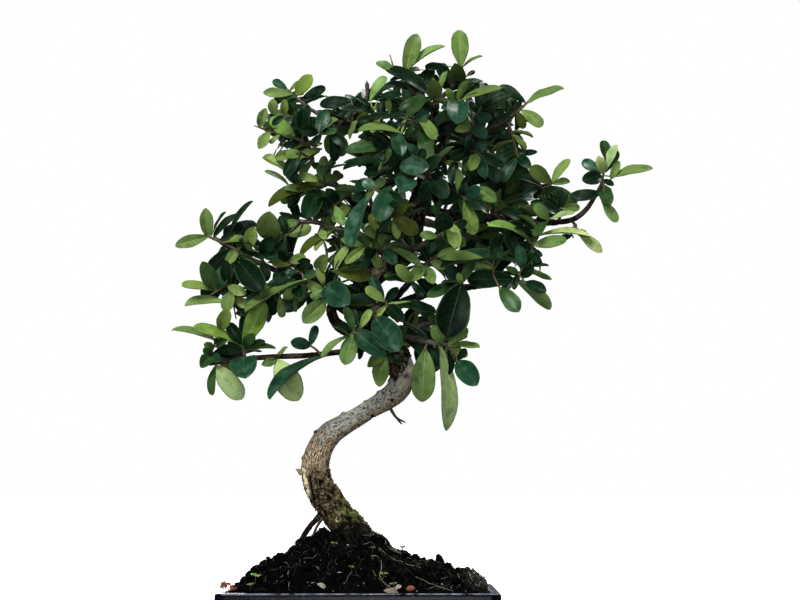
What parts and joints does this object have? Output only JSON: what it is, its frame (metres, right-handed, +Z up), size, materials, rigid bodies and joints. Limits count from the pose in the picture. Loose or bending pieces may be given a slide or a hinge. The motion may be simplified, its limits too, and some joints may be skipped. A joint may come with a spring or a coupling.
{
  "type": "firethorn bonsai",
  "caption": "Firethorn bonsai with a curved grey trunk and a spreading crown of glossy oval leaves, on a mound of dark soil in a rectangular glazed pot.",
  "frame": {"origin": "middle of the pot's flat foot, where it stands", "axes": "+X to the right along the pot's front, +Y away from the viewer, +Z up the trunk"},
  "size_m": [0.349, 0.1927, 0.4769],
  "materials": {
    "glazed_pot": "gloss",
    "drain_mesh": "matte",
    "soil": "matte",
    "bark": "matte",
    "leaf_dark": "satin",
    "leaf_light": "satin"
  },
  "bodies": {
    "root": {"pot": "glazed_pot", "drain_mesh_left": "drain_mesh", "drain_mesh_right": "drain_mesh", "soil": "soil", "trunk": "bark", "spray_top_right": "leaf_dark", "spray_right_high": "leaf_dark", "spray_right_top": "leaf_dark", "spray_right_upper": "leaf_dark", "spray_right_mid": "leaf_dark", "spray_right_tip": "leaf_dark", "spray_right_under": "leaf_dark", "spray_right_fork": "leaf_dark", "spray_right_branch_up": "leaf_dark", "spray_right_low_tip": "leaf_dark", "spray_right_low_drop": "leaf_light", "spray_big_leaf": "leaf_dark", "spray_front_low_mid": "leaf_dark", "spray_low_left_leaf": "leaf_dark", "spray_low_left_round": "leaf_light", "spray_low_left_rosette": "leaf_dark", "spray_low_left_tip": "leaf_dark", "spray_left_tip": "leaf_dark", "spray_left_upper": "leaf_light", "spray_left_loop": "leaf_light", "spray_centre_arch": "leaf_dark", "spray_centre_grey": "leaf_light", "spray_front_fork_tip": "leaf_light", "spray_front_high_right": "leaf_dark", "spray_front_top_left": "leaf_dark", "spray_crown_left": "leaf_dark", "spray_crown_left_low": "leaf_dark", "spray_left_sweep": "leaf_dark", "spray_left_under": "leaf_dark", "spray_mid_left": "leaf_dark", "spray_mid_inner": "leaf_dark", "spray_mid_right": "leaf_dark", "spray_under_right": "leaf_dark", "spray_front_low": "leaf_dark", "spray_front_left": "leaf_dark", "spray_front_mid": "leaf_dark", "spray_front_high": "leaf_dark", "spray_front_top": "leaf_dark", "spray_crown_right": "leaf_dark", "spray_left_mid": "leaf_light", "spray_back_left": "leaf_dark", "spray_back_right": "leaf_dark", "spray_back_high": "leaf_dark", "spray_back_crown": "leaf_dark", "spray_back_top": "leaf_dark", "spray_back_low_right": "leaf_dark", "spray_back_low_left": "leaf_dark", "spray_left_end": "leaf_dark", "spray_left_twig": "leaf_light", "spray_left_high": "leaf_dark", "spray_top_left": "leaf_light", "spray_left_inner": "leaf_light", "spray_back_side": "leaf_dark"}
  },
  "joints": []
}
